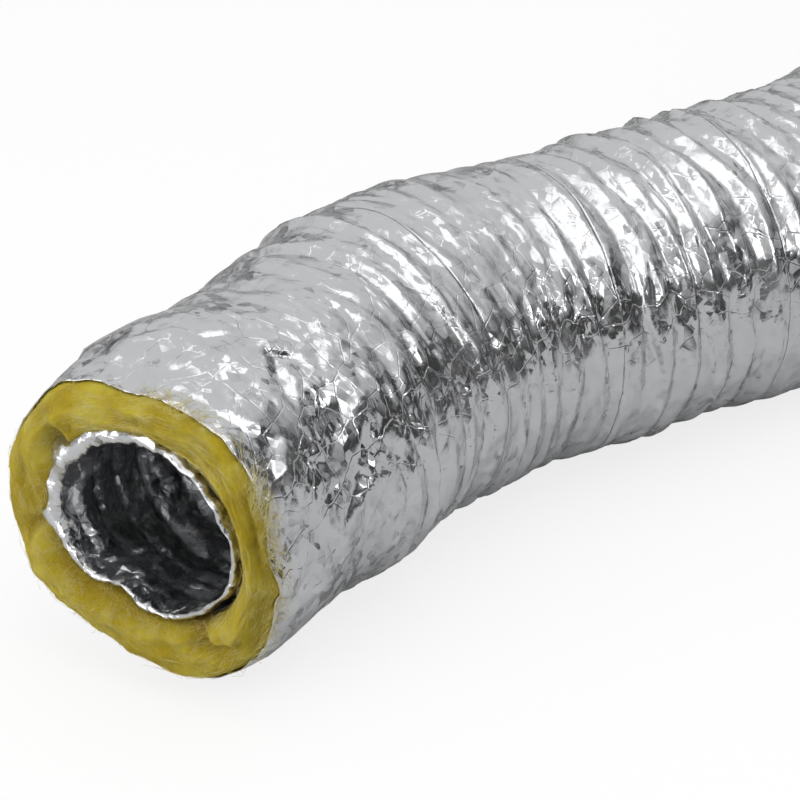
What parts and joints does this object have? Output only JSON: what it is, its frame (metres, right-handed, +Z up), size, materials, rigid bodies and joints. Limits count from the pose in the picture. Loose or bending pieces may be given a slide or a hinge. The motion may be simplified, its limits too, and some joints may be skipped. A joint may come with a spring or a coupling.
{
  "type": "insulated flexible air duct",
  "caption": "Insulated flexible air duct: foil core with steel wire helix, glass wool blanket and crinkled foil jacket; bends, lifts and pulls out.",
  "frame": {"origin": "centre of the front mouth, on the axis of the front stretch", "axes": "+X runs from the front mouth into the duct along the axis of the front stretch, +Z is up from the surface that the duct lies on, +Y is to the left"},
  "size_m": [0.9763, 0.3297, 0.1798],
  "materials": {
    "jacket_foil": "gloss",
    "core_foil": "gloss",
    "glass_wool": "matte",
    "spring_wire": "satin"
  },
  "bodies": {
    "front_end": {"jacket_1": "jacket_foil", "wool_1": "glass_wool", "core_outer_ply_1": "core_foil", "helix_wire_1": "spring_wire", "core_inner_ply_1": "core_foil"},
    "stretch_2": {"jacket_2": "jacket_foil", "wool_2": "glass_wool", "core_outer_ply_2": "core_foil", "helix_wire_2": "spring_wire", "core_inner_ply_2": "core_foil"},
    "stretch_3": {"jacket_3": "jacket_foil", "wool_3": "glass_wool", "core_outer_ply_3": "core_foil", "helix_wire_3": "spring_wire", "core_inner_ply_3": "core_foil"},
    "stretch_4": {"jacket_4": "jacket_foil", "wool_4": "glass_wool", "core_outer_ply_4": "core_foil", "helix_wire_4": "spring_wire", "core_inner_ply_4": "core_foil"},
    "stretch_5": {"jacket_5": "jacket_foil", "wool_5": "glass_wool", "core_outer_ply_5": "core_foil", "helix_wire_5": "spring_wire", "core_inner_ply_5": "core_foil"},
    "stretch_6": {"jacket_6": "jacket_foil", "wool_6": "glass_wool", "core_outer_ply_6": "core_foil", "helix_wire_6": "spring_wire", "core_inner_ply_6": "core_foil"},
    "stretch_7": {"jacket_7": "jacket_foil", "wool_7": "glass_wool", "core_outer_ply_7": "core_foil", "helix_wire_7": "spring_wire", "core_inner_ply_7": "core_foil"},
    "rear_end": {"jacket_8": "jacket_foil", "wool_8": "glass_wool", "core_outer_ply_8": "core_foil", "helix_wire_8": "spring_wire", "core_inner_ply_8": "core_foil"}
  },
  "joints": [
    {"name": "front_pull", "type": "slide", "parent": "stretch_4", "child": "stretch_3", "axis": [-0.9063, 0.4226, 0], "range_m": [0, 0.03]},
    {"name": "front_bend", "type": "hinge", "parent": "stretch_3", "child": "stretch_2", "pos_m": [0.26914, -0.01401, 0], "axis": [0, 0, 1], "range_deg": [-25, 25]},
    {"name": "front_lift", "type": "hinge", "parent": "stretch_2", "child": "front_end", "pos_m": [0.155, 0, 0], "axis": [0, 1, 0], "range_deg": [0, 25]},
    {"name": "middle_bend", "type": "hinge", "parent": "stretch_4", "child": "stretch_5", "pos_m": [0.47759, -0.11122, 0], "axis": [0, 0, 1], "range_deg": [-25, 25]},
    {"name": "rear_pull", "type": "slide", "parent": "stretch_5", "child": "stretch_6", "axis": [0.9877, -0.1564, 0], "range_m": [0, 0.03]},
    {"name": "rear_bend", "type": "hinge", "parent": "stretch_6", "child": "stretch_7", "pos_m": [0.70476, -0.1472, 0], "axis": [0, 0, 1], "range_deg": [-25, 25]},
    {"name": "rear_lift", "type": "hinge", "parent": "stretch_7", "child": "rear_end", "pos_m": [0.81974, -0.1492, 0], "axis": [0.0175, -0.9998, 0], "range_deg": [0, 25]}
  ],
  "couplings": [
    {"joint": "rear_pull", "follows": "front_pull", "ratio": 1}
  ]
}
